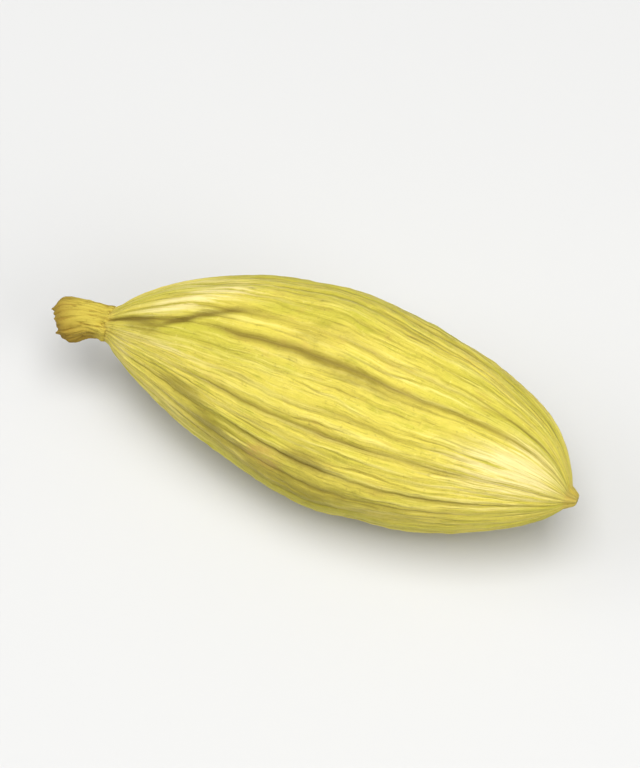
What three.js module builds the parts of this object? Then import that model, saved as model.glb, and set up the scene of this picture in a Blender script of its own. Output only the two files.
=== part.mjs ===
// One dried green cardamom pod lying on its side: a ribbed, three-cornered husk on a stub of its stalk.
// Millimetres. +X runs from the stalk to the tip, +Z is up, and the pod rests on the plane Z = 0.
import * as THREE from "three";
import { LoftGeometry } from "three/addons/geometries/LoftGeometry.js";

// Husk: its length, its girth, and the tapers that give the spindle outline
const HUSK_LENGTH = 18.3; // from the neck at the stalk to the root of the beak
const HUSK_RADIUS = 4.08; // mean radius at the widest place
const NECK_TAPER = 0.62; // power of the swelling away from the neck, 0.5 is round and 1 is a cone
const TIP_TAPER = 0.55; // power of the closing towards the tip
const BELLY = 0.05; // share of the radius that is a soft bulge round the middle
const BELLY_AT = 0.47; // where that bulge is, as a share of the length
const BELLY_SPAN = 0.14; // its half length, as a share of the length

// Husk middle line: neck and tip lie to one side of the body, which sags a little behind its middle
const BOW = 0.65; // how far the ends lie aside, along Y
const BOW_NECK_SPAN = 0.1; // share of the length in which the neck bends in
const BOW_TIP_SPAN = 0.06;
const SAG = 0.18; // how far it sags back
const SAG_AT = 0.66; // where, as a share of the length
const SAG_SPAN = 0.15;

// Husk ends
const NECK_RADIUS = 0.68;
const NECK_FADE = 14; // the higher, the shorter the neck
const BEAK_RADIUS = 0.42; // withered point on the tip
const BEAK_END_RADIUS = 0.14;
const BEAK_LENGTH = 0.36;
const BEAK_FADE = 45;

// Husk section: three grown-together valves with rounded corners, one of them on top
const VALVES = 3;
const CORNER = 0.045; // how far a corner stands out, as a share of the radius
const TOP = Math.PI / 2; // angle of the top corner, from +Y towards +Z
const TWIST = 0.05; // turn of the ribs from end to end, in radians
const NECK_TURN = 0.2; // further turn of the ribs where they gather at the neck, in radians
const NECK_TURN_SPAN = 0.12; // share of the length in which that dies away
const REST_CUT = 0.24; // how much of the underside is pressed flat

// Ribs: broad and round-backed, parted by narrow grooves of unequal depth
const RIBS = VALVES * 9;
const RIB_START = 0.16; // turn of the first groove past the top corner, in radians
const POINTS_PER_RIB = 4;
const RIB_BACK = 0.55; // the lower, the flatter the rib's back and the sharper its groove
const RIB_SHIFTS = [
  { share: 0.37, waves: 2, start: 2.47 },
  { share: 0.21, waves: 3, start: -0.47 },
]; // waves round the husk that make the ribs unequal, each as a share of a rib
const RIB_SWAY = 0.1; // how far a groove sways along the husk, as a share of a rib
const SWAY_TURN = 5; // radians of that sway from end to end
const SWAY_WAVES = 4; // and round the husk
const GROOVE_DEPTH = 0.22; // of the deepest groove, at the belly
const GROOVE_SHARES = [1, 0.35, 0.4, 0.8, 0.35, 0.7, 0.45, 0.3, 0.55]; // of that depth, over one valve
const GROOVE_FADE = 0.6; // power with which the grooves grow shallower towards the ends
const GROOVE_BREATH = 0.12; // half of the share by which a groove's depth comes and goes
const BREATH_TURN = 7; // radians of that from end to end
const BREATH_STEP = 1.7; // and from each groove to the next

// Stalk: a short broken stub that bends aside and down and flares to its end
const STALK_LENGTH = 1.75;
const STALK_DROOP = 0.3;
const STALK_SWING = -0.5; // sideways, along Y
const STALK_WAIST = 0.65; // radius near the husk
const STALK_FLARE = 0.86; // radius near the broken end
const STALK_SWELL = [0.25, 0.9]; // shares of the length between which the waist flares
const STALK_ROUND = 0.2; // share of the length in which the broken edge rounds off
const STALK_END = 0.74; // radius of the broken end, as a share of the flare's
const STALK_OVERHANG = 0.36; // how far the tilted broken end reaches past the stalk's length
const STALK_RIDGES = 7;
const STALK_RIDGE = 0.05; // height of a ridge, as a share of the radius
const STALK_COLUMNS = 28;
const STALK_ROWS = 9;
const JOIN_GAP = 0.02; // husk and stalk meet face to face

const HUSK_ROWS = 36;
const ROW_CROWDING = 0.72; // 0 is even rows, towards 1 they crowd at the ends
const BEAK_ROWS = 3;

const AXIS_HEIGHT = HUSK_RADIUS * (1 - CORNER) - REST_CUT;
const NECK_X = (STALK_LENGTH + STALK_OVERHANG - HUSK_LENGTH - BEAK_LENGTH) / 2; // centres the pod on X = 0

// Radius along the husk: a spindle with a soft belly, carried on into the neck and the beak.
function huskRadius(t) {
  const widest = NECK_TAPER / (NECK_TAPER + TIP_TAPER);
  const spindle = (t / widest) ** NECK_TAPER * ((1 - t) / (1 - widest)) ** TIP_TAPER;
  const belly = Math.exp(-(((t - BELLY_AT) / BELLY_SPAN) ** 2));
  const body = HUSK_RADIUS * ((1 - BELLY) * spindle + BELLY * belly);
  return Math.hypot(body, NECK_RADIUS * (1 - t) ** NECK_FADE, BEAK_RADIUS * t ** BEAK_FADE);
}

// Sideways place of the husk's middle line: a blunt arch with a sag in it, and the belly near Y = 0.
function huskBow(t) {
  const neckBend = Math.exp(-t / BOW_NECK_SPAN);
  const tipBend = Math.exp((t - 1) / BOW_TIP_SPAN);
  const sag = Math.exp(-(((t - SAG_AT) / SAG_SPAN) ** 2));
  return BOW * ((1 - neckBend) * (1 - tipBend) - 1) - SAG * sag;
}

// Where a rib phase lies round the husk: ribs of unequal width that sway, twist and gather at the neck.
function ribAngle(phase, t) {
  const turn = (2 * Math.PI * phase) / RIBS;
  let shift = RIB_SWAY * Math.sin(SWAY_TURN * t + SWAY_WAVES * turn);
  for (const { share, waves, start } of RIB_SHIFTS) {
    shift += share * Math.sin(waves * turn + start);
  }
  const gather = NECK_TURN * Math.exp(-t / NECK_TURN_SPAN);
  return TOP + RIB_START + turn + (shift * 2 * Math.PI) / RIBS + TWIST * (t - 0.5) + gather;
}

// Depth of the groove nearest to a rib phase: it breathes along the husk and fades with the girth.
function grooveDepth(phase, t, radius) {
  const groove = Math.round(phase) % RIBS;
  const share = GROOVE_SHARES[groove % GROOVE_SHARES.length];
  const breath = 1 - GROOVE_BREATH * (1 - Math.sin(BREATH_TURN * t + BREATH_STEP * groove));
  return GROOVE_DEPTH * share * breath * (radius / HUSK_RADIUS) ** GROOVE_FADE;
}

// One ring of the husk at share t of its length, with the given plain radius and distance from the neck.
function huskRing(t, radius, distance) {
  const ring = [];
  for (let column = 0; column < RIBS * POINTS_PER_RIB; column++) {
    const phase = column / POINTS_PER_RIB;
    const angle = ribAngle(phase, t);
    const corner = 1 + CORNER * Math.cos(VALVES * (angle - TOP));
    const back = Math.abs(Math.sin(Math.PI * phase)) ** RIB_BACK;
    const reach = radius * corner - grooveDepth(phase, t, radius) * (1 - back);
    const y = huskBow(t) + reach * Math.cos(angle);
    const z = Math.max(AXIS_HEIGHT + reach * Math.sin(angle), 0);
    ring.push(new THREE.Vector3(NECK_X + distance, y, z));
  }
  return ring;
}

// The husk is one closed loft from the neck's flat end to the blunt end of the beak.
function makeHusk() {
  const rings = [];
  for (let row = 0; row <= HUSK_ROWS; row++) {
    const even = row / HUSK_ROWS;
    const t = even - (ROW_CROWDING * Math.sin(2 * Math.PI * even)) / (2 * Math.PI);
    rings.push(huskRing(t, huskRadius(t), t * HUSK_LENGTH));
  }
  for (let row = 1; row <= BEAK_ROWS; row++) {
    const out = row / BEAK_ROWS;
    const radius = THREE.MathUtils.lerp(BEAK_RADIUS, BEAK_END_RADIUS, out);
    rings.push(huskRing(1, radius, HUSK_LENGTH + BEAK_LENGTH * out));
  }
  const skin = new THREE.MeshStandardMaterial({ color: 0xd9c860, roughness: 0.62, metalness: 0 });
  const husk = new THREE.Mesh(new LoftGeometry(rings, { capStart: true, capEnd: true }), skin);
  husk.name = "husk";
  return husk;
}

// Radius along the stalk: a waist that flares, then rounds off at the broken end.
function stalkRadius(s) {
  const swell = THREE.MathUtils.smoothstep(s, ...STALK_SWELL);
  const past = Math.max(0, (s - 1 + STALK_ROUND) / STALK_ROUND);
  const round = Math.sqrt(1 - (1 - STALK_END ** 2) * past ** 2);
  return THREE.MathUtils.lerp(STALK_WAIST, STALK_FLARE, swell) * round;
}

// One ring of the stalk at share s of its path, square to the path, with shallow ridges round it.
function stalkRing(path, s) {
  const ahead = path.getTangent(s);
  const side = new THREE.Vector3().crossVectors(ahead, new THREE.Vector3(0, 0, 1)).normalize();
  const over = new THREE.Vector3().crossVectors(ahead, side);
  const ring = [];
  for (let column = 0; column < STALK_COLUMNS; column++) {
    const angle = (2 * Math.PI * column) / STALK_COLUMNS;
    const reach = stalkRadius(s) * (1 + STALK_RIDGE * Math.cos(STALK_RIDGES * angle + s));
    const point = path.getPoint(s);
    point.addScaledVector(side, reach * Math.cos(angle));
    point.addScaledVector(over, reach * Math.sin(angle));
    ring.push(point);
  }
  return ring;
}

// The stalk is one closed loft along a bent path that leaves the neck squarely.
function makeStalk() {
  const root = new THREE.Vector3(NECK_X - JOIN_GAP, huskBow(0), AXIS_HEIGHT);
  const knee = root.clone().add(new THREE.Vector3(-STALK_LENGTH / 2, 0, 0));
  const end = root.clone().add(new THREE.Vector3(-STALK_LENGTH, STALK_SWING, -STALK_DROOP));
  const path = new THREE.QuadraticBezierCurve3(root, knee, end);
  const rings = [];
  for (let row = 0; row <= STALK_ROWS; row++) {
    rings.push(stalkRing(path, row / STALK_ROWS));
  }
  const fibre = new THREE.MeshStandardMaterial({ color: 0xc9ae56, roughness: 0.75, metalness: 0 });
  const stalk = new THREE.Mesh(new LoftGeometry(rings, { capStart: true, capEnd: true }), fibre);
  stalk.name = "stalk";
  return stalk;
}

const pod = new THREE.Group();
pod.add(makeHusk(), makeStalk());

export default pod;
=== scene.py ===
"""A dried green cardamom pod: fine ribbed husk, broken stalk, dry finishes and a small studio.

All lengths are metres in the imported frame: +X from the stalk to the tip, +Z up, resting on Z = 0. Angles
round the husk run from +Y towards +Z, and shares along it from 0 at the neck to 1 at the tip.
"""

import math

import bpy
import numpy as np
from bpy.props import FloatProperty, FloatVectorProperty, IntProperty, PointerProperty
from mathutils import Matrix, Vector


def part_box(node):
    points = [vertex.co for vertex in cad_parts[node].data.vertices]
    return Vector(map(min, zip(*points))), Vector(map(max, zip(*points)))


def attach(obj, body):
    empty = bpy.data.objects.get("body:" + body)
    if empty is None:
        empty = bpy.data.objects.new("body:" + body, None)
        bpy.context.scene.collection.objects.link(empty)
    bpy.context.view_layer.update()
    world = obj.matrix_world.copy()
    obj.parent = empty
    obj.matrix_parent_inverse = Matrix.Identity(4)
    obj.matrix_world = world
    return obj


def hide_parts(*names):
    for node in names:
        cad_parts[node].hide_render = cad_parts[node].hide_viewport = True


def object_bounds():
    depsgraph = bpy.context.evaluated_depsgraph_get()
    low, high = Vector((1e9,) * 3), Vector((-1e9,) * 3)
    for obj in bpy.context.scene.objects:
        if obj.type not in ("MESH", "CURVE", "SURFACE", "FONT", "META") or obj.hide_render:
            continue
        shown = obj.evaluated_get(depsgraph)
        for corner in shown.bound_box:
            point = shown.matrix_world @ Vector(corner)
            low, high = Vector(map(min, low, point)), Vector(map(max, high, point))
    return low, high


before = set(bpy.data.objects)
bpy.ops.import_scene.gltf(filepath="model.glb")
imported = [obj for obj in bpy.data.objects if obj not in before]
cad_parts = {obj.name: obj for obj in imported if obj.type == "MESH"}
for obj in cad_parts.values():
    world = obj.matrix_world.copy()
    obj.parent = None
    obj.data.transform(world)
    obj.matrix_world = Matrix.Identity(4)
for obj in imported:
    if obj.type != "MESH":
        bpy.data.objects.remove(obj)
CAD_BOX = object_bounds()
HUSK_LOW, HUSK_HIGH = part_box("husk")
STALK_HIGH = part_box("stalk")[1]

bl_info = {
    "name": "Green cardamom pod",
    "version": (1, 0, 0),
    "blender": (4, 5, 0),
    "location": "3D View > Sidebar > Cardamom",
    "description": "Dresses a cardamom pod with a ribbed husk, a broken stalk, dry finishes and a studio",
    "category": "Add Mesh",
}

MM = 0.001
BODY = "root"
SEED = 41
NOISE_GAIN = 1.5

# Husk outline, as powers and shares of its length
NECK_TAPER, TIP_TAPER = 0.62, 0.55
BELLY_SHARE, BELLY_AT, BELLY_SPAN = 0.05, 0.47, 0.14
BOW_NECK_SPAN, BOW_TIP_SPAN = 0.1, 0.06
SAG_AT, SAG_SPAN = 0.66, 0.15
NECK_FADE, BEAK_FADE = 14, 45
VALVES = 3
TOP = math.pi / 2

# Ribs: their count, how they shift, sway and wander as shares of a rib, and the grooves between them
RIBS = VALVES * 9
RIB_START = 0.16
RIB_SHIFTS = ((0.37, 2, 2.47), (0.21, 3, -0.47))
RIB_SWAY, SWAY_TURN, SWAY_WAVES = 0.1, 5, 4
TWIST = 0.05
NECK_TURN, NECK_TURN_SPAN = 0.2, 0.12
SLOW_WANDER, SLOW_CELLS = 0.09, (RIBS, 8)
QUICK_WANDER, QUICK_CELLS = 0.05, (RIBS, 22)
RIB_BACK, GROOVE_BED = 0.55, 0.004
GROOVE_SHARES = np.array([1, 0.35, 0.4, 0.8, 0.35, 0.7, 0.45, 0.3, 0.55])
GROOVE_FADE = 0.6
GROOVE_BREATH, BREATH_TURN, BREATH_STEP = 0.12, 7, 1.7
FADING, FADING_CELLS, FADING_LEAST, FADING_MOST = 0.9, (RIBS, 6), 0.2, 1.2

# Forked lines between the ribs, and veins on their backs
FEW_LINES, MANY_LINES = 50, 66
LINE_WANDER, LINE_CELLS, LINE_SHARPNESS = 4, (12, 5), 7
FORK_CELLS = (9, 4)
LINE_SHOWN, LINE_CHANGE, LINE_CHANGE_CELLS = 0.4, 0.9, (40, 7)
VEIN_WIDTH, VEIN_WANDER, VEIN_CELLS = 0.10, 0.2, (RIBS, 6)
VEIN_SHOWN, VEIN_CHANGE, VEIN_CHANGE_CELLS = 0.25, 1.6, (RIBS, 4)

# Relief of the husk: heights, and the cells of its noise round and along it
VEIN_HEIGHT, LINE_DEPTH = 0.035 * MM, 0.045 * MM
LUMP_HEIGHT, LUMP_CELLS = 0.07 * MM, (14, 9)
DENT_HEIGHT, DENT_CELLS = 0.12 * MM, (6, 4)
CRINKLE_HEIGHT, CRINKLE_CELLS = 0.02 * MM, (62, 44)
PUCKER_HEIGHT, PUCKER_CELLS = 0.014 * MM, (108, 66)
CREST_HEIGHT, RIM_HEIGHT = 0.10 * MM, 0.05 * MM
TRENCH_DEPTH, COLLAR_DEPTH = 0.11 * MM, 0.05 * MM
COLLAR_AT, COLLAR_SPAN = 0.3 * MM, 0.14 * MM
PRESS = 0.05 * MM

# Husk ends: rings that close the neck, its tucked rim, and the beak's reach, girth and pleats
ROW_CROWDING = 0.55
NECK_ROWS, NECK_FIRST = 6, 0.15
NECK_TUCK, NECK_TUCK_SPAN = 0.1, 0.08 * MM
BEAK_ROWS = 16
BEAK_AT = (0, 0.6, 0.8, 0.9, 1)
BEAK_OUT = (0, 0.85, 1, 0.95, 0.75)
BEAK_GIRTH = (1, 0.55, 0.38, 0.22, 0.06)
BEAK_PLEATS, PLEAT_DEPTH, PLEAT_START = 8, 0.14, 0.8
PLEAT_WANDER, PLEAT_CELLS = 2, (5, 1)

# Lines that slant away from the neck: shares along the husk, and angles past the top at those shares
BAND_LINE = ((0.08, 0.155, 0.23, 0.30), (0.15, -0.04, -0.26, -0.37))
SLANT_LINE = ((0.12, 0.165, 0.2, 0.28, 0.34), (0.38, 0.23, 0.125, -0.04, -0.10))

# Streaks on those lines: strength, share along, half length and half width
BAND_CREST = (1.0, 0.18, 0.10, 0.13)
BAND_CREAM = (1.2, 0.18, 0.12, 0.16)
SLANT_TRENCH = (1.0, 0.2, 0.09, 0.05)

# Marks on the husk: strength, share along, angle past the top, half length and half width
SAGGING = ((0.07, 0.38, 0.85, 0.2, 0.25),)
HEALED = (
    (0.65, 0.205, 0.235, 0.05, 0.12),
    (0.6, 0.15, 0.9, 0.08, 0.18),
)
NECK_RIM = ((1.0, 0.15, 1.87, 0.12, 0.06),)
NECK_TRENCH = ((0.7, 0.06, 0.33, 0.06, 0.10),)
# Cream patches; the second row, a wide pale wash on the tip, and the last row, on the neck's rim towards
# -Y, are painted highlights
BLEACHED_AND_HIGHLIT = (
    (1.0, 0.86, 0.64, 0.085, 0.25),
    (1.0, 0.93, 0.55, 0.07, 0.55),
    (0.15, 0.55, 0.95, 0.35, 0.3),
    (0.6, 0.17, -0.5, 0.12, 0.4),
    (0.45, 0.84, 1.1, 0.1, 0.35),
    (0.6, 0.15, 0.75, 0.12, 0.22),
    (0.7, 0.05, 1.2, 0.03, 0.5),
    (0.7, 0.15, 1.72, 0.11, 0.2),
)
STAINED = ((1.2, 0.41, 1.38, 0.05, 0.14),)
# Dark olive smears; the fourth row, wide and on the -Y side where the pod's lower edge lies in view, is
# painted shade
BRUISED_AND_SHADED = (
    (1.6, 0.5, 1.2, 0.05, 0.1),
    (0.8, 0.28, 1.38, 0.07, 0.12),
    (1.3, 0.21, 1.14, 0.08, 0.11),
    (1.1, 0.5, 1.56, 0.3, 0.25),
    (1.1, 0.54, 0.25, 0.2, 0.09),
    (0.6, 0.5, -0.07, 0.14, 0.09),
    (0.9, 0.445, 0.07, 0.06, 0.06),
    (1.0, 0.09, 0.48, 0.05, 0.14),
)

# Greenness of the husk: from rib to rib, in clouds, least a little past the top and at the neck; the side
# term makes the underside greener and darker, partly a real greener side and partly painted shade
GREEN_BASE = 0.45
GREEN_RIBS, GREEN_RIB_CELLS = 0.7, (RIBS, 5)
GREEN_CLOUDS, GREEN_CLOUD_CELLS = 0.5, (8, 3)
RIPE_AND_SHADED_SIDE, RIPE_AND_UNSHADED_TOWARDS = 0.8, TOP + 0.4
RIPE_NECK, RIPE_NECK_SPAN = 0.7, 0.12
GREEN_WEIGHT = 0.22

# Colour of the furrows, darker with their depth and in the trench and collar, partly the husk's own olive
# and partly painted shade, and the radius that the fibres' pattern is wound on
FURROW_FADE, FURROW_TRENCH, FURROW_COLLAR = 0.4, 0.7, 0.1
GRAIN_RADIUS = 4.1

# Stalk: shares of its length and of its radius
STALK_ROOT = -0.08
STALK_SWELL_FROM, STALK_SWELL_TO = 0.25, 0.9
STALK_ROUND, STALK_END = 0.2, 0.74
STALK_RIDGES, RIDGE_HEIGHT = 7, 0.035
STRAND_HEIGHT, STRAND_CELLS = 0.09, (16, 2)
THREAD_HEIGHT, THREAD_CELLS = 0.04, (44, 2)
SLIT_DEPTH, SLIT_WIDTH, SLIT_CELLS = 0.08, 0.22, (30, 1)
RING_HEIGHT, RING_CELLS = 0.02, (9, 14)
PINCH_DEPTH, PINCH_AT, PINCH_SPAN = 0.03, 0.13, 0.06
ROOT_FLARE, ROOT_FLARE_SPAN = 0.06, 0.05
KNOB_HEIGHT, KNOB_CELLS = 0.08, (5, 3)
# Painted shade on the stalk's underside: the angle round the stalk that it darkens most, its strength at
# the root and its rise along the stalk
STALK_UNDERSIDE, UNDERSIDE_SHADE_START, UNDERSIDE_SHADE_GAIN = 2.67, 0.6, 1.2

# Broken end of the stalk: rings that close it, roughness, crown of splinters and hollow
STALK_CAP_ROWS, CAP_CLOSING, CAP_POWER = 22, 0.94, 1.6
ROUGH_HEIGHT, ROUGH_CELLS, ROUGH_RISE = 0.06 * MM, (22, 6), 6
CROWN_HEIGHT, CROWN_AT, CROWN_SPAN = 0.18 * MM, 0.92, 0.08
SPLINTER_BASE, SPLINTER_CELLS, SPLINTER_POWER = 0.35, (17, 1), 1.2
SPLIT_SHARE, SPLIT_CELLS = 0.3, (40, 1)
HOLLOW_DEPTH, HOLLOW_FROM, HOLLOW_SPAN = 0.22 * MM, 0.86, 0.5

# Stage: picture in pixels, floor, sky and camera range, and the soft lights' places about the pod's middle
PICTURE_WIDTH, PICTURE_HEIGHT = 640, 768
FLOOR_REACH = 2.0
SKY_STRENGTH = 0.30
CLIP_START, CLIP_END = 0.01, 10.0
SOFTBOXES = (
    ("overhead_softbox", (0.01, -0.02, 0.225), 0.16, 0.475),
    ("left_softbox", (-0.17, -0.05, 0.13), 0.14, 0.15),
    ("right_softbox", (0.17, -0.05, 0.13), 0.14, 0.21),
)


class HuskSettings(bpy.types.PropertyGroup):
    """Sizes and colours of the husk."""

    radius: FloatProperty(
        name="Radius",
        description="Mean radius at the widest place",
        default=4.08 * MM,
        unit="LENGTH",
    )
    corner: FloatProperty(
        name="Corner",
        description="How far the three corners stand out, as a share of the radius",
        default=0.045,
    )
    bow: FloatProperty(
        name="Bow",
        description="How far the ends lie aside from the body",
        default=0.65 * MM,
        unit="LENGTH",
    )
    sag: FloatProperty(
        name="Sag",
        description="How far the body sags back behind its middle",
        default=0.18 * MM,
        unit="LENGTH",
    )
    rest_cut: FloatProperty(
        name="Rest cut",
        description="How much of the underside is pressed flat",
        default=0.24 * MM,
        unit="LENGTH",
    )
    neck_radius: FloatProperty(
        name="Neck radius",
        description="Radius where the stalk joins",
        default=0.68 * MM,
        unit="LENGTH",
    )
    beak_radius: FloatProperty(
        name="Beak radius",
        description="Radius at the root of the withered beak",
        default=0.42 * MM,
        unit="LENGTH",
    )
    beak_length: FloatProperty(
        name="Beak length",
        description="Length of the withered beak",
        default=0.36 * MM,
        unit="LENGTH",
    )
    groove_depth: FloatProperty(
        name="Groove depth",
        description="Depth of the deepest groove",
        default=0.22 * MM,
        unit="LENGTH",
    )
    columns_per_rib: IntProperty(
        name="Columns per rib",
        description="Mesh columns across one rib",
        default=16,
        min=4,
    )
    rows: IntProperty(
        name="Rows",
        description="Mesh rows from neck to tip",
        default=196,
        min=20,
    )
    straw: FloatVectorProperty(
        name="Straw",
        description="Ripe yellow of the husk",
        subtype="COLOR",
        default=(0.70, 0.585, 0.078),
    )
    leaf: FloatVectorProperty(
        name="Leaf",
        description="Greener parts of the husk",
        subtype="COLOR",
        default=(0.52, 0.475, 0.040),
    )
    fibre: FloatVectorProperty(
        name="Fibre",
        description="Pale fibres and veins",
        subtype="COLOR",
        default=(0.83, 0.725, 0.18),
    )
    # Olive of the grooves, also used as painted shade in them and on the underside
    groove: FloatVectorProperty(
        name="Groove",
        description="Olive shade down in the grooves",
        subtype="COLOR",
        default=(0.19, 0.135, 0.011),
    )
    # Cream colour of the patches, also laid on as painted highlights
    bleach_and_highlight: FloatVectorProperty(
        name="Bleach",
        description="Cream patches",
        subtype="COLOR",
        default=(0.87, 0.74, 0.30),
    )
    stain: FloatVectorProperty(
        name="Stain",
        description="Tan marks and withered ends",
        subtype="COLOR",
        default=(0.55, 0.33, 0.08),
    )


class StalkSettings(bpy.types.PropertyGroup):
    """Sizes and colours of the stalk."""

    length: FloatProperty(
        name="Length",
        description="Reach along X",
        default=1.75 * MM,
        unit="LENGTH",
    )
    droop: FloatProperty(
        name="Droop",
        description="Fall of the broken end",
        default=0.3 * MM,
        unit="LENGTH",
    )
    swing: FloatProperty(
        name="Swing",
        description="Sideways bend, along Y",
        default=-0.5 * MM,
        unit="LENGTH",
    )
    waist: FloatProperty(
        name="Waist",
        description="Radius near the husk",
        default=0.65 * MM,
        unit="LENGTH",
    )
    flare: FloatProperty(
        name="Flare",
        description="Radius near the broken end",
        default=0.86 * MM,
        unit="LENGTH",
    )
    columns: IntProperty(
        name="Columns",
        description="Mesh columns round the stalk",
        default=168,
        min=12,
    )
    rows: IntProperty(
        name="Rows",
        description="Mesh rows along the stalk",
        default=60,
        min=8,
    )
    bark: FloatVectorProperty(
        name="Bark",
        description="Dry outside",
        subtype="COLOR",
        default=(0.56, 0.445, 0.060),
    )
    # Browned end and furrows; also the colour of the painted shade on the underside
    end: FloatVectorProperty(
        name="Broken end",
        description="Browned end, furrows and underside",
        subtype="COLOR",
        default=(0.27, 0.165, 0.016),
    )
    pith: FloatVectorProperty(
        name="Pith",
        description="Paler middle of the broken end",
        subtype="COLOR",
        default=(0.50, 0.35, 0.12),
    )


class StageSettings(bpy.types.PropertyGroup):
    """Camera, light and floor."""

    azimuth: FloatProperty(
        name="Azimuth",
        description="Camera's turn round the pod",
        default=math.radians(23.1),
        subtype="ANGLE",
    )
    elevation: FloatProperty(
        name="Elevation",
        description="Camera's height over the floor",
        default=math.radians(62),
        subtype="ANGLE",
    )
    lens: FloatProperty(
        name="Lens",
        description="Focal length in millimetres",
        default=180,
    )
    field: FloatProperty(
        name="Field",
        description="Width that the picture takes in",
        default=23.5 * MM,
        unit="LENGTH",
    )
    floor: FloatVectorProperty(
        name="Floor",
        description="Pale floor",
        subtype="COLOR",
        default=(0.62, 0.62, 0.615),
    )


def ease(x):
    """Quintic step: 0 to 1 with flat ends."""
    return x * x * x * (x * (6 * x - 15) + 10)


def bell(x):
    """Bell of height 1 at x = 0 that falls as exp(-x**2)."""
    return np.exp(-(x**2))


def wave_noise(rng, around, along, cells_around, cells_along):
    """Soft random height from about -1 to 1: every corner of a lattice that closes round the piece has a
    random slope, and the heights of the four slopes about a point are joined by quintic steps. around and
    along run from 0 to 1."""
    lean = rng.uniform(0, 2 * np.pi, (cells_around, cells_along + 2))
    u = around * cells_around
    v = np.clip(along, 0, 1) * cells_along
    i = np.floor(u).astype(int)
    j = np.floor(v).astype(int)
    u, v = u - i, v - j

    def height(right, up):
        slope = lean[(i + right) % cells_around, j + up]
        return np.cos(slope) * (u - right) + np.sin(slope) * (v - up)

    near = height(0, 0) + ease(u) * (height(1, 0) - height(0, 0))
    far = height(0, 1) + ease(u) * (height(1, 1) - height(0, 1))
    return NOISE_GAIN * (near + ease(v) * (far - near))


def patch(along, angle, at, towards, length, width):
    """Soft spot on the husk: a bell in both directions, at share at of the length and angle towards."""
    off = np.angle(np.exp(1j * (angle - towards)))
    return np.exp(-(((along - at) / length) ** 2) - (off / width) ** 2)


def marks(along, angle, table):
    """Sum of the soft spots in a table of marks."""
    total = 0 * along
    for strength, at, past_top, length, width in table:
        total = total + strength * patch(along, angle, at, TOP + past_top, length, width)
    return total


def streak(along, angle, line, shape):
    """Soft spot that is drawn out along a slanting line, whose angle past the top is looked up by share."""
    strength, at, length, width = shape
    return strength * patch(along, angle, at, TOP + np.interp(along, *line), length, width)


def ring_mesh(name, rings):
    """One closed mesh from rings of points, shape (rows, columns, 3): four-sided faces between neighbouring
    rings, and a fan at each end to a pole in the middle of the end ring. Faces point outwards when the
    rings turn counterclockwise as seen from the last ring."""
    rows, columns, _ = rings.shape
    poles = np.stack([rings[0].mean(0), rings[-1].mean(0)])
    points = np.concatenate([rings.reshape(-1, 3), poles])
    place = np.arange(rows * columns).reshape(rows, columns)
    after = np.roll(place, -1, axis=1)
    quads = np.stack([place[:-1], after[:-1], after[1:], place[1:]], axis=-1).reshape(-1, 4)
    first = np.full(columns, rows * columns)
    fans = np.concatenate(
        [
            np.stack([first, after[0], place[0]], axis=-1),
            np.stack([first + 1, place[-1], after[-1]], axis=-1),
        ]
    )
    corners = np.concatenate([quads.ravel(), fans.ravel()])
    starts = np.concatenate([np.arange(len(quads)) * 4, quads.size + np.arange(len(fans)) * 3])
    mesh = bpy.data.meshes.new(name)
    mesh.vertices.add(len(points))
    mesh.vertices.foreach_set("co", points.astype(np.float32).ravel())
    mesh.loops.add(len(corners))
    mesh.loops.foreach_set("vertex_index", corners.astype(np.int32))
    mesh.polygons.add(len(starts))
    mesh.polygons.foreach_set("loop_start", starts.astype(np.int32))
    mesh.polygons.foreach_set("use_smooth", np.ones(len(starts), dtype=bool))
    mesh.update(calc_edges=True)
    if mesh.validate():
        raise RuntimeError(f"{name}: the mesh had faces to mend")
    return mesh


def paint_points(mesh, name, values):
    """Stores a number or a vector for each point of the rings, with the poles taking their ring's mean."""
    ends = np.stack([values[0].mean(0), values[-1].mean(0)])
    kind, key = ("FLOAT_VECTOR", "vector") if values.ndim == 3 else ("FLOAT", "value")
    flat = np.concatenate([values.reshape(-1, *values.shape[2:]), ends]).astype(np.float32)
    mesh.attributes.new(name, kind, "POINT").data.foreach_set(key, flat.ravel())


def place_piece(name, points, paint, material, node):
    """Puts a piece made of rings of points in the scene, painted, on the pod's one body, in place of its
    CAD node."""
    mesh = ring_mesh(name, points)
    for value_name, values in paint.items():
        paint_points(mesh, value_name, values)
    mesh.materials.append(material)
    piece = bpy.data.objects.new(name, mesh)
    bpy.context.scene.collection.objects.link(piece)
    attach(piece, BODY)
    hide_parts(node)


def husk_radius(t, husk):
    """Radius along the husk: a spindle t**a * (1 - t)**b with a soft belly, carried on into neck and beak
    as the root of the sum of squares."""
    widest = NECK_TAPER / (NECK_TAPER + TIP_TAPER)
    spindle = (t / widest) ** NECK_TAPER * ((1 - t) / (1 - widest)) ** TIP_TAPER
    belly = bell((t - BELLY_AT) / BELLY_SPAN)
    body = husk.radius * ((1 - BELLY_SHARE) * spindle + BELLY_SHARE * belly)
    neck = husk.neck_radius * (1 - t) ** NECK_FADE
    beak = husk.beak_radius * t**BEAK_FADE
    return np.sqrt(body**2 + neck**2 + beak**2)


def husk_bow(t, husk):
    """Sideways place of the middle line: a blunt arch with a sag in it, and the belly near Y = 0."""
    arch = (1 - np.exp(-t / BOW_NECK_SPAN)) * (1 - np.exp((t - 1) / BOW_TIP_SPAN))
    return husk.bow * (arch - 1) - husk.sag * bell((t - SAG_AT) / SAG_SPAN)


def axis_height(husk):
    """Height of the middle line: the radius to a flat side, less what the floor presses flat."""
    return husk.radius * (1 - husk.corner) - husk.rest_cut


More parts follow.
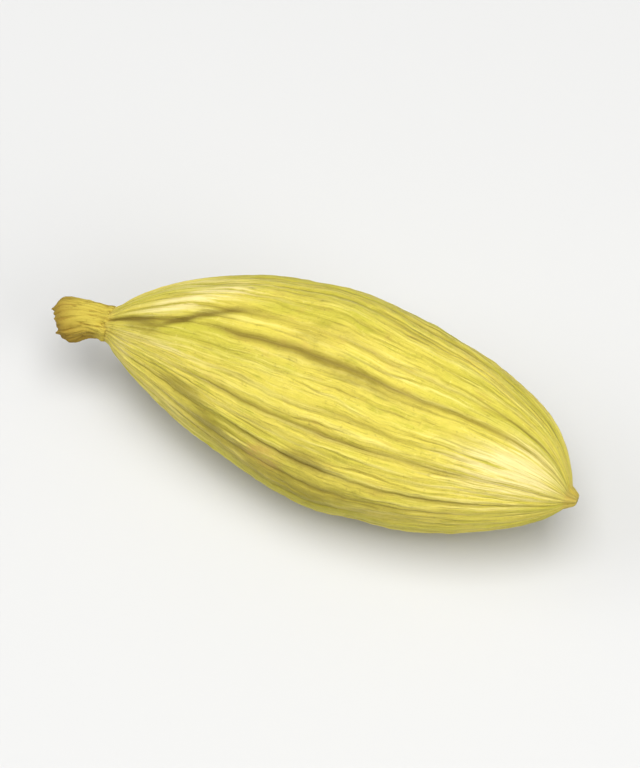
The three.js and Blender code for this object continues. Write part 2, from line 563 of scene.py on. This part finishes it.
def rib_angle(phase, t):
    """Angle of a rib phase round the husk: unequal ribs that sway, twist and gather at the neck."""
    turn = 2 * np.pi * phase / RIBS
    shift = RIB_SWAY * np.sin(SWAY_TURN * t + SWAY_WAVES * turn)
    for share, waves, start in RIB_SHIFTS:
        shift = shift + share * np.sin(waves * turn + start)
    gather = NECK_TURN * np.exp(-t / NECK_TURN_SPAN)
    return TOP + RIB_START + turn + shift * 2 * np.pi / RIBS + TWIST * (t - 0.5) + gather


def groove_cut(rng, phase, t, along, angle):
    """Grooves between the ribs, as shares of the deepest: valleys 1 - |sin(pi * phase)|**p, each with its
    own strength, that breathe and fade along the husk and are healed in places."""
    groove = np.round(phase).astype(int) % RIBS
    breath = 1 - GROOVE_BREATH * (1 - np.sin(BREATH_TURN * t + BREATH_STEP * groove))
    share = GROOVE_SHARES[groove % len(GROOVE_SHARES)]
    fading = FADING + FADING * wave_noise(rng, groove / RIBS + 0 * t, along, *FADING_CELLS)
    fading = np.clip(fading, FADING_LEAST, FADING_MOST)
    strength = share * breath * (fading + (1 - fading) * share**2)
    back = ((np.sin(np.pi * phase) ** 2 + GROOVE_BED) / (1 + GROOVE_BED)) ** (RIB_BACK / 2)
    return strength * (1 - back) * (1 - marks(along, angle, HEALED))


def forked_lines(rng, around, along):
    """Narrow lines along the husk, from 0 between them to 1 on them: where two waves of unlike count round
    the husk take turns, lines fork and merge. They come and go along the husk."""
    spin = 2 * np.pi * around
    share = np.clip(0.5 + wave_noise(rng, around, along, *FORK_CELLS), 0, 1)
    few = FEW_LINES * spin + LINE_WANDER * wave_noise(rng, around, along, *LINE_CELLS)
    many = MANY_LINES * spin + LINE_WANDER * wave_noise(rng, around, along, *LINE_CELLS)
    field = (1 - share) * np.exp(1j * few) + share * np.exp(1j * many)
    line = (0.5 + 0.5 * np.cos(np.angle(field))) ** LINE_SHARPNESS
    shown = LINE_SHOWN + LINE_CHANGE * wave_noise(rng, around, along, *LINE_CHANGE_CELLS)
    return line * np.clip(shown, 0, 1)


def rib_veins(rng, phase, t, along):
    """Raised veins on the backs of the ribs, from 0 to 1: a bell across each rib about a wandering line,
    which comes and goes along the husk."""
    rib = np.floor(phase) + 0.5
    around = rib / RIBS + 0 * t
    aside = phase - rib + VEIN_WANDER * wave_noise(rng, around, along, *VEIN_CELLS)
    shown = VEIN_SHOWN + VEIN_CHANGE * wave_noise(rng, around, along, *VEIN_CHANGE_CELLS)
    return bell(aside / VEIN_WIDTH) * np.clip(shown, 0, 1)


def husk_rows(husk, length):
    """Stations of the husk's rings, as arrays: share of the length, plain radius and distance from the
    neck. A few rings close the neck's end, the rest run to the tip, crowded at both ends, and over the
    beak's lip."""
    inward = np.linspace(NECK_FIRST, 1, NECK_ROWS, endpoint=False)
    even = np.linspace(0, 1, husk.rows + 1)
    t = even - ROW_CROWDING * np.sin(2 * np.pi * even) / (2 * np.pi)
    out = np.linspace(0, 1, BEAK_ROWS + 1)[1:]
    cone = husk.beak_radius * np.interp(out, BEAK_AT, BEAK_GIRTH)
    rise = husk.beak_length * np.interp(out, BEAK_AT, BEAK_OUT)
    share = np.concatenate([np.zeros(NECK_ROWS), t, np.ones(BEAK_ROWS)])
    radius = np.concatenate([husk.neck_radius * inward, husk_radius(t, husk), cone])
    distance = np.concatenate([0 * inward, t * length, length + rise])
    return share[:, None], radius[:, None], distance[:, None]


def husk_surface(husk):
    """The husk as rings of points, with its paint values: along the spindle, each ring is a rounded
    triangle R * (1 + k * cos(3a)) less the grooves between its ribs, with finer forked lines, raised
    veins, seed lumps, dents, crinkles and the forms at the neck added to the radius. The beak is pleated,
    and the underside is pressed softly flat on the floor."""
    rng = np.random.default_rng(SEED)
    length = HUSK_HIGH.x - HUSK_LOW.x - husk.beak_length
    t, radius, distance = husk_rows(husk, length)
    columns = RIBS * husk.columns_per_rib
    phase = np.arange(columns)[None, :] / husk.columns_per_rib
    around = phase / RIBS + 0 * t
    along = t + 0 * phase
    spin = 2 * np.pi * phase / RIBS
    girth = radius / husk.radius
    full = np.sqrt(np.clip(girth, 0, 1))

    wander = SLOW_WANDER * wave_noise(rng, around, along, *SLOW_CELLS)
    wander = wander + QUICK_WANDER * wave_noise(rng, around, along, *QUICK_CELLS)
    angle = rib_angle(phase, t) + wander * full * 2 * np.pi / RIBS
    angle = angle + marks(along, angle, SAGGING)

    cut = groove_cut(rng, phase, t, along, angle)
    line = forked_lines(rng, around, along)
    vein = rib_veins(rng, phase, t, along)
    lumps = wave_noise(rng, around, along, *LUMP_CELLS)
    dents = wave_noise(rng, around, along, *DENT_CELLS)
    crinkles = wave_noise(rng, around, along, *CRINKLE_CELLS)
    puckers = wave_noise(rng, around, along, *PUCKER_CELLS)
    relief = -husk.groove_depth * cut * girth**GROOVE_FADE
    relief = relief + full * (VEIN_HEIGHT * vein - LINE_DEPTH * line)
    relief = relief + full * (CRINKLE_HEIGHT * crinkles + PUCKER_HEIGHT * puckers)
    relief = relief + girth * (LUMP_HEIGHT * lumps + DENT_HEIGHT * dents)

    crest = streak(along, angle, BAND_LINE, BAND_CREST)
    rim = marks(along, angle, NECK_RIM)
    trench = streak(along, angle, SLANT_LINE, SLANT_TRENCH) + marks(along, angle, NECK_TRENCH)
    collar = bell((distance - COLLAR_AT) / COLLAR_SPAN)
    relief = relief + CREST_HEIGHT * crest + RIM_HEIGHT * rim
    relief = relief - TRENCH_DEPTH * trench - COLLAR_DEPTH * collar

    corner = 1 + husk.corner * np.cos(VALVES * (angle - TOP))
    reach = radius * corner + relief * np.clip(radius / husk.beak_radius, 0, 1)
    reach = reach * (1 - NECK_TUCK * np.exp(-distance / NECK_TUCK_SPAN))
    drawn = np.clip((distance - length) / husk.beak_length + PLEAT_START, 0, 1)
    pleats = BEAK_PLEATS * spin + PLEAT_WANDER * wave_noise(rng, around, 0 * along, *PLEAT_CELLS)
    reach = reach * (1 + PLEAT_DEPTH * drawn * np.cos(pleats))

    x = HUSK_LOW.x + distance + 0 * phase
    y = husk_bow(t, husk) + reach * np.cos(angle)
    z = axis_height(husk) + reach * np.sin(angle)
    z = 0.5 * (z + np.sqrt(z**2 + PRESS**2))

    tone = GREEN_RIBS * wave_noise(rng, around, along, *GREEN_RIB_CELLS)
    tone = tone + GREEN_CLOUDS * wave_noise(rng, around, along, *GREEN_CLOUD_CELLS)
    # Partly painted shade: greener and darker towards the underside, away from the top
    tone = tone + GREEN_BASE - RIPE_AND_SHADED_SIDE * np.cos(angle - RIPE_AND_UNSHADED_TOWARDS)
    tone = tone - RIPE_NECK * np.exp(-along / RIPE_NECK_SPAN)
    wound = [GRAIN_RADIUS * np.cos(spin) + 0 * t, GRAIN_RADIUS * np.sin(spin) + 0 * t, along * length / MM]
    # Partly painted shade: grooves, trenches and the collar are darkened in colour with their depth
    furrow = cut * girth**FURROW_FADE + FURROW_TRENCH * trench + FURROW_COLLAR * collar
    paint = {
        "grain": np.stack(wound, axis=-1),
        "furrow": np.clip(furrow, 0, 1),
        "line": line,
        "vein": vein,
        "tone": tone,
        "along": along,
        # Cream patches and painted highlights
        "bleach_and_highlight": marks(along, angle, BLEACHED_AND_HIGHLIT) + streak(along, angle, BAND_LINE, BAND_CREAM),
        "stain": marks(along, angle, STAINED),
        "bruise_and_shade": marks(along, angle, BRUISED_AND_SHADED),
    }
    return np.stack([x, y, z], axis=-1), paint


def stalk_path(stalk, s):
    """Bent path of the stalk and the frame that travels on it: the curve 2s(1 - s) * knee + s**2 * end, its
    direction, and two directions square to that."""
    knee = np.array([-stalk.length / 2, 0, 0])
    end = np.array([-stalk.length, stalk.swing, -stalk.droop])
    path = 2 * s * (1 - s) * knee + s**2 * end
    ahead = 2 * (1 - s) * knee + 2 * s * (end - knee)
    ahead = ahead / np.linalg.norm(ahead, axis=1, keepdims=True)
    side = np.cross(ahead, [0, 0, 1])
    side = side / np.linalg.norm(side, axis=1, keepdims=True)
    over = np.cross(ahead, side)
    return path[:, None, :], ahead[:, None, :], side[:, None, :], over[:, None, :]


def stalk_surface(stalk, root):
    """The stalk as rings of points, with its paint values: a ridged tube of swelling radius along a bent
    path that leaves the neck squarely, and a cap of shrinking rings over the broken end, with a crown of
    torn fibres round its edge and a hollow in its middle."""
    rng = np.random.default_rng(SEED + 1)
    s = np.concatenate([np.linspace(STALK_ROOT, 1, stalk.rows), np.ones(STALK_CAP_ROWS)])[:, None]
    inward = np.linspace(0, 1, STALK_CAP_ROWS + 1)[1:]
    shrink = np.concatenate([np.ones(stalk.rows), 1 - CAP_CLOSING * inward**CAP_POWER])[:, None]
    spin = (np.arange(stalk.columns) / stalk.columns * 2 * np.pi)[None, :]
    around = spin / (2 * np.pi) + 0 * s
    along = s + 0 * spin

    swell = np.clip((s - STALK_SWELL_FROM) / (STALK_SWELL_TO - STALK_SWELL_FROM), 0, 1)
    swell = swell * swell * (3 - 2 * swell)
    past = np.clip((s - 1 + STALK_ROUND) / STALK_ROUND, 0, 1)
    edge = np.sqrt(1 - (1 - STALK_END**2) * past**2)
    radius = (stalk.waist + (stalk.flare - stalk.waist) * swell) * edge * shrink

    bulge = RIDGE_HEIGHT * np.cos(STALK_RIDGES * spin + s)
    bulge = bulge + STRAND_HEIGHT * wave_noise(rng, around, along, *STRAND_CELLS)
    bulge = bulge + THREAD_HEIGHT * wave_noise(rng, around, along, *THREAD_CELLS)
    slits = np.abs(wave_noise(rng, around, along, *SLIT_CELLS))
    slits = np.clip(1 - slits / SLIT_WIDTH, 0, 1) ** 2
    bulge = bulge + RING_HEIGHT * wave_noise(rng, around, along, *RING_CELLS)
    bulge = bulge + KNOB_HEIGHT * wave_noise(rng, around, along, *KNOB_CELLS)
    bulge = bulge - PINCH_DEPTH * bell((s - PINCH_AT) / PINCH_SPAN)
    bulge = bulge + ROOT_FLARE * bell(s / ROOT_FLARE_SPAN)
    reach = radius * (1 + bulge - SLIT_DEPTH * slits)

    rough = wave_noise(rng, around, shrink + 0 * spin, *ROUGH_CELLS)
    rough = rough * np.clip(ROUGH_RISE * (1 - shrink), 0, 1)
    splinters = SPLINTER_BASE + wave_noise(rng, around, 0 * along, *SPLINTER_CELLS)
    splinters = splinters + SPLIT_SHARE * wave_noise(rng, around, 0 * along, *SPLIT_CELLS)
    splinters = np.clip(splinters, 0, 1) ** SPLINTER_POWER
    crown = splinters * bell((shrink - CROWN_AT) / CROWN_SPAN) * (s == 1)
    hollow = np.clip((HOLLOW_FROM - shrink) / HOLLOW_SPAN, 0, 1)
    dome = ROUGH_HEIGHT * rough + CROWN_HEIGHT * crown - HOLLOW_DEPTH * hollow

    path, ahead, side, over = stalk_path(stalk, s)
    outward = np.cos(spin)[..., None] * side + np.sin(spin)[..., None] * over
    points = root + path + reach[..., None] * outward + dome[..., None] * ahead

    depth = (along + (1 - shrink)) * stalk.length / MM
    # Painted shade: darkest on the underside, fading towards the neck
    under = 0.5 + 0.5 * np.cos(spin - STALK_UNDERSIDE)
    paint = {
        "grain": np.stack([np.cos(spin) * shrink, np.sin(spin) * shrink, depth], axis=-1),
        "along": along,
        "broken": 1 - shrink + 0 * spin,
        "furrow": slits,
        "underside_shade": under * np.clip(UNDERSIDE_SHADE_START + UNDERSIDE_SHADE_GAIN * s, 0, 1),
    }
    return points, paint


class Finish:
    """A material under construction: each call adds nodes and gives back the socket that they feed."""

    def __init__(self, name):
        self.material = bpy.data.materials.new(name)
        self.material.use_nodes = True
        self.tree = self.material.node_tree
        self.tree.nodes.clear()

    def add(self, kind, inputs, output=0, **settings):
        """One node of a kind, with its inputs linked to sockets or set to constants."""
        node = self.tree.nodes.new(kind)
        for key, value in settings.items():
            setattr(node, key, value)
        for key, value in inputs.items():
            if isinstance(value, bpy.types.NodeSocket):
                self.tree.links.new(value, node.inputs[key])
            else:
                node.inputs[key].default_value = value
        return node.outputs[output] if node.outputs else None

    def number(self, name):
        """A painted number."""
        return self.add("ShaderNodeAttribute", {}, output=2, attribute_name=name)

    def vector(self, name, stretch):
        """A painted vector, stretched along its axes."""
        place = self.add("ShaderNodeAttribute", {}, output=1, attribute_name=name)
        return self.add("ShaderNodeMapping", {"Vector": place, "Scale": stretch})

    def millimetres(self):
        """Place on the piece, in millimetres."""
        place = self.add("ShaderNodeTexCoord", {}, output=3)
        return self.add("ShaderNodeMapping", {"Vector": place, "Scale": (1 / MM,) * 3})

    def noise(self, vector, scale, detail=3.0, roughness=0.5):
        """Noise from 0 to 1."""
        inputs = {"Vector": vector, "Scale": scale, "Detail": detail, "Roughness": roughness}
        return self.add("ShaderNodeTexNoise", inputs)

    def span(self, value, low, high, to_low=0.0, to_high=1.0):
        """A smooth step from one value to another as a number goes from low to high."""
        inputs = {"Value": value, "From Min": low, "From Max": high, "To Min": to_low, "To Max": to_high}
        return self.add("ShaderNodeMapRange", inputs, interpolation_type="SMOOTHSTEP")

    def math(self, operation, first, second):
        """A sum, a product or the like of two numbers."""
        return self.add("ShaderNodeMath", {0: first, 1: second}, operation=operation)

    def mix(self, share, first, second):
        """A share of the second colour over the first."""
        first, second = (v if isinstance(v, bpy.types.NodeSocket) else (*v, 1.0) for v in (first, second))
        return self.add("ShaderNodeMix", {0: share, 6: first, 7: second}, output=2, data_type="RGBA")

    def tint(self, colour, value, low, high, share, second):
        """A second colour laid over the first, from none to a share as a number goes from low to high."""
        return self.mix(self.span(value, low, high, 0, share), colour, second)

    def bump(self, height, distance, strength, normal=None):
        """A normal bent by a height, on top of another normal if one is given."""
        inputs = {"Height": height, "Distance": distance, "Strength": strength}
        if normal is not None:
            inputs["Normal"] = normal
        return self.add("ShaderNodeBump", inputs)

    def close(self, **inputs):
        """The finished material, from the inputs of its one shader."""
        named = {key.replace("_", " "): value for key, value in inputs.items()}
        shader = self.add("ShaderNodeBsdfPrincipled", named)
        self.add("ShaderNodeOutputMaterial", {"Surface": shader})
        return self.material


def husk_skin(husk):
    """Dry husk: straw and green in streaks along the ribs, pale fibres and veins, olive grooves partly
    darkened as painted shade, cream and tan marks with painted highlights on the tip and the neck's rim,
    painted shade making the underside greener and darker, withered ends and a few freckles, with fine
    lengthwise fibres and faint cross wrinkles."""
    skin = Finish("dry_husk")
    furrow = skin.number("furrow")
    along = skin.number("along")
    drift = skin.noise(skin.vector("grain", (1, 1, 0.3)), 0.45, 3.0)
    fibres = skin.noise(skin.vector("grain", (1, 1, 0.06)), 3.4, 5.0, 0.65)
    threads = skin.noise(skin.vector("grain", (1, 1, 0.08)), 9.0, 4.0, 0.65)
    mottle = skin.noise(skin.vector("grain", (1, 1, 0.5)), 1.6, 5.0, 0.65)
    specks = skin.noise(skin.millimetres(), 5.0, 4.0, 0.7)
    wrinkles = skin.noise(skin.vector("grain", (0.5, 0.5, 1.6)), 2.6, 3.0, 0.6)

    # Straw and green, where the greener, darker underside is partly painted shade, then fibres, threads and
    # specks
    green = skin.math("ADD", drift, skin.math("MULTIPLY", skin.number("tone"), GREEN_WEIGHT))
    colour = skin.tint(husk.straw, green, 0.35, 0.75, 0.85, husk.leaf)
    colour = skin.tint(colour, mottle, 0.5, 0.72, 0.75, husk.leaf)
    colour = skin.tint(colour, mottle, 0.46, 0.28, 0.3, husk.stain)
    colour = skin.tint(colour, fibres, 0.5, 0.75, 0.7, husk.fibre)
    colour = skin.tint(colour, threads, 0.5, 0.75, 0.5, husk.groove)
    colour = skin.tint(colour, threads, 0.45, 0.28, 0.45, husk.fibre)
    colour = skin.tint(colour, specks, 0.56, 0.76, 0.4, husk.groove)
    colour = skin.tint(colour, specks, 0.42, 0.26, 0.5, husk.fibre)

    # Veins, lines, dark smears with painted shade on the -Y side, and grooves partly darkened as painted
    # shade
    vein = skin.math("MULTIPLY", skin.number("vein"), skin.span(threads, 0.65, 0.35, 0.35, 1.0))
    colour = skin.tint(colour, vein, 0.1, 1.0, 0.7, husk.fibre)
    colour = skin.tint(colour, skin.number("line"), 0.1, 0.8, 0.5, husk.groove)
    # Dark smears, with the wide mark on the -Y side as painted shade
    bruise_and_shade = skin.math("MULTIPLY", skin.number("bruise_and_shade"), skin.span(mottle, 0.3, 0.7, 0.5, 1.0))
    colour = skin.tint(colour, bruise_and_shade, 0.1, 1.0, 0.6, husk.groove)
    # Grooves darkened with their depth: partly the husk's own olive, partly painted shade
    colour = skin.tint(colour, furrow, 0.04, 0.42, 0.48, husk.groove)
    colour = skin.tint(colour, furrow, 0.34, 0.8, 0.9, husk.groove)

    # Cream streaks with painted highlights on the tip and the neck's rim, tan marks, withered ends and
    # freckles
    pale_fibres = skin.span(fibres, 0.38, 0.62, 0.0, 0.6)
    pale_threads = skin.span(threads, 0.6, 0.35, 0.0, 0.5)
    # Cream patches, with painted highlights on the tip and on the neck's rim
    bleach_and_highlight = skin.math("MULTIPLY", skin.number("bleach_and_highlight"), skin.math("ADD", pale_fibres, pale_threads))
    colour = skin.tint(colour, bleach_and_highlight, 0.0, 0.9, 0.95, husk.bleach_and_highlight)
    stain = skin.math("MULTIPLY", skin.number("stain"), skin.span(mottle, 0.35, 0.65, 0.2, 1.0))
    colour = skin.tint(colour, stain, 0.1, 0.9, 0.6, husk.stain)
    neck_end = skin.span(along, 0.02, 0.0, 0, 0.4)
    beak_end = skin.span(along, 0.992, 1.0, 0, 0.4)
    withered = skin.math("MAXIMUM", neck_end, beak_end)
    withered = skin.math("MULTIPLY", withered, skin.span(threads, 0.3, 0.65, 0.5, 1.0))
    colour = skin.mix(withered, colour, husk.stain)
    cells = skin.add("ShaderNodeTexVoronoi", {"Vector": skin.vector("grain", (1, 1, 0.45)), "Scale": 0.9})
    freckle = skin.math("ADD", cells, skin.math("MULTIPLY", threads, 0.12))
    freckle = skin.math("MULTIPLY", skin.span(freckle, 0.17, 0.09), skin.span(mottle, 0.42, 0.6))
    colour = skin.mix(skin.math("MULTIPLY", freckle, 0.6), colour, husk.groove)

    height = skin.math("ADD", fibres, skin.math("MULTIPLY", threads, 0.8))
    height = skin.math("ADD", height, skin.math("MULTIPLY", wrinkles, 0.35))
    normal = skin.bump(height, 0.08 * MM, 0.8)
    normal = skin.bump(specks, 0.035 * MM, 0.6, normal)
    return skin.close(
        Base_Color=colour,
        Roughness=skin.span(fibres, 0.3, 0.7, 0.72, 0.52),
        Normal=normal,
        Specular_IOR_Level=0.35,
    )


def stalk_bark(stalk):
    """Dry stalk: tan fibres along it, browner in its furrows and towards the broken end, with painted shade
    darkening its underside, and a paler pith."""
    bark = Finish("dry_stalk")
    fibres = bark.noise(bark.vector("grain", (1, 1, 0.06)), 6.0, 4.0, 0.65)
    specks = bark.noise(bark.millimetres(), 6.0, 4.0, 0.7)
    colour = bark.tint(stalk.bark, bark.number("along"), 0.4, 1.0, 0.8, stalk.end)
    # Painted shade: the underside of the stalk is darkened with the browned colour
    colour = bark.tint(colour, bark.number("underside_shade"), 0.45, 1.0, 0.7, stalk.end)
    colour = bark.tint(colour, fibres, 0.52, 0.3, 0.7, stalk.end)
    colour = bark.tint(colour, specks, 0.55, 0.75, 0.6, stalk.end)
    colour = bark.tint(colour, bark.number("furrow"), 0.3, 1.0, 0.75, stalk.end)
    colour = bark.tint(colour, bark.number("broken"), 0.45, 0.8, 0.75, stalk.pith)
    normal = bark.bump(fibres, 0.08 * MM, 0.8)
    normal = bark.bump(specks, 0.03 * MM, 0.5, normal)
    return bark.close(
        Base_Color=colour,
        Roughness=bark.span(fibres, 0.3, 0.7, 0.85, 0.68),
        Normal=normal,
        Specular_IOR_Level=0.3,
    )


def floor_paper(stage):
    """Plain pale paper for the floor."""
    paper = Finish("pale_floor")
    tooth = paper.noise(paper.millimetres(), 3.0, 3.0)
    normal = paper.bump(tooth, 0.02 * MM, 0.1)
    return paper.close(
        Base_Color=(*stage.floor, 1.0),
        Roughness=0.9,
        Normal=normal,
        Specular_IOR_Level=0.2,
    )


def add_floor(scene, stage):
    """One large square at Z = 0."""
    reach = FLOOR_REACH
    corners = [(-reach, -reach, 0), (reach, -reach, 0), (reach, reach, 0), (-reach, reach, 0)]
    mesh = bpy.data.meshes.new("floor")
    mesh.from_pydata(corners, [], [(0, 1, 2, 3)])
    mesh.materials.append(floor_paper(stage))
    floor = bpy.data.objects.new("floor", mesh)
    scene.collection.objects.link(floor)


def add_softbox(scene, name, place, target, size, power):
    """A square area light that faces the target."""
    light = bpy.data.lights.new(name, "AREA")
    light.shape = "SQUARE"
    light.size = size
    light.energy = power
    lamp = bpy.data.objects.new(name, light)
    lamp.location = place
    lamp.rotation_mode = "QUATERNION"
    lamp.rotation_quaternion = (target - place).to_track_quat("-Z", "Y")
    scene.collection.objects.link(lamp)


def add_sky(scene):
    """An even white sky that fills the shade."""
    world = bpy.data.worlds.new("studio")
    world.use_nodes = True
    sky = world.node_tree.nodes["Background"]
    sky.inputs["Color"].default_value = (1.0, 1.0, 1.0, 1.0)
    sky.inputs["Strength"].default_value = SKY_STRENGTH
    scene.world = world
    scene.view_settings.view_transform = "Standard"


def add_camera(scene, stage, target):
    """A long lens that looks at the target, from as far off as the field's width asks."""
    lens = bpy.data.cameras.new("camera")
    lens.lens = stage.lens
    lens.clip_start = CLIP_START
    lens.clip_end = CLIP_END
    camera = bpy.data.objects.new("camera", lens)
    scene.collection.objects.link(camera)
    back = Vector(
        (
            math.sin(stage.azimuth) * math.cos(stage.elevation),
            -math.cos(stage.azimuth) * math.cos(stage.elevation),
            math.sin(stage.elevation),
        )
    )
    picture_width = lens.sensor_width * PICTURE_WIDTH / PICTURE_HEIGHT
    camera.location = target + back * (stage.field * stage.lens / picture_width)
    camera.rotation_mode = "QUATERNION"
    camera.rotation_quaternion = (-back).to_track_quat("-Z", "Y")
    scene.camera = camera


class CARDAMOM_OT_husk(bpy.types.Operator):
    """Make the ribbed husk in place of its CAD node"""

    bl_idname = "cardamom.husk"
    bl_label = "Husk"

    def execute(self, context):
        husk = context.scene.cardamom_husk
        points, paint = husk_surface(husk)
        place_piece("husk_skin", points, paint, husk_skin(husk), "husk")
        return {"FINISHED"}


class CARDAMOM_OT_stalk(bpy.types.Operator):
    """Make the broken stalk in place of its CAD node"""

    bl_idname = "cardamom.stalk"
    bl_label = "Stalk"

    def execute(self, context):
        husk = context.scene.cardamom_husk
        stalk = context.scene.cardamom_stalk
        root = np.array([STALK_HIGH.x, husk_bow(0, husk), axis_height(husk)])
        points, paint = stalk_surface(stalk, root)
        place_piece("stalk_stub", points, paint, stalk_bark(stalk), "stalk")
        return {"FINISHED"}


class CARDAMOM_OT_stage(bpy.types.Operator):
    """Make the floor, the soft lights and the camera"""

    bl_idname = "cardamom.stage"
    bl_label = "Stage"

    def execute(self, context):
        scene = context.scene
        stage = scene.cardamom_stage
        middle = (CAD_BOX[0] + CAD_BOX[1]) / 2
        add_floor(scene, stage)
        for name, offset, size, power in SOFTBOXES:
            add_softbox(scene, name, middle + Vector(offset), middle, size, power)
        add_sky(scene)
        add_camera(scene, stage, middle)
        return {"FINISHED"}


class CARDAMOM_PT_panel(bpy.types.Panel):
    """Lists the pod's pieces and the stage"""

    bl_idname = "CARDAMOM_PT_panel"
    bl_label = "Cardamom pod"
    bl_space_type = "VIEW_3D"
    bl_region_type = "UI"
    bl_category = "Cardamom"

    def draw(self, context):
        for operator in OPERATORS:
            self.layout.operator(operator.bl_idname)


SETTINGS = (HuskSettings, StalkSettings, StageSettings)
OPERATORS = (CARDAMOM_OT_husk, CARDAMOM_OT_stalk, CARDAMOM_OT_stage)
CLASSES = (*SETTINGS, *OPERATORS, CARDAMOM_PT_panel)


def register():
    for kind in CLASSES:
        bpy.utils.register_class(kind)
    bpy.types.Scene.cardamom_husk = PointerProperty(type=HuskSettings)
    bpy.types.Scene.cardamom_stalk = PointerProperty(type=StalkSettings)
    bpy.types.Scene.cardamom_stage = PointerProperty(type=StageSettings)


def unregister():
    del bpy.types.Scene.cardamom_stage
    del bpy.types.Scene.cardamom_stalk
    del bpy.types.Scene.cardamom_husk
    for kind in reversed(CLASSES):
        bpy.utils.unregister_class(kind)


def main():
    register()
    bpy.ops.cardamom.husk()
    bpy.ops.cardamom.stalk()
    bpy.ops.cardamom.stage()


if __name__ == "__main__":
    main()
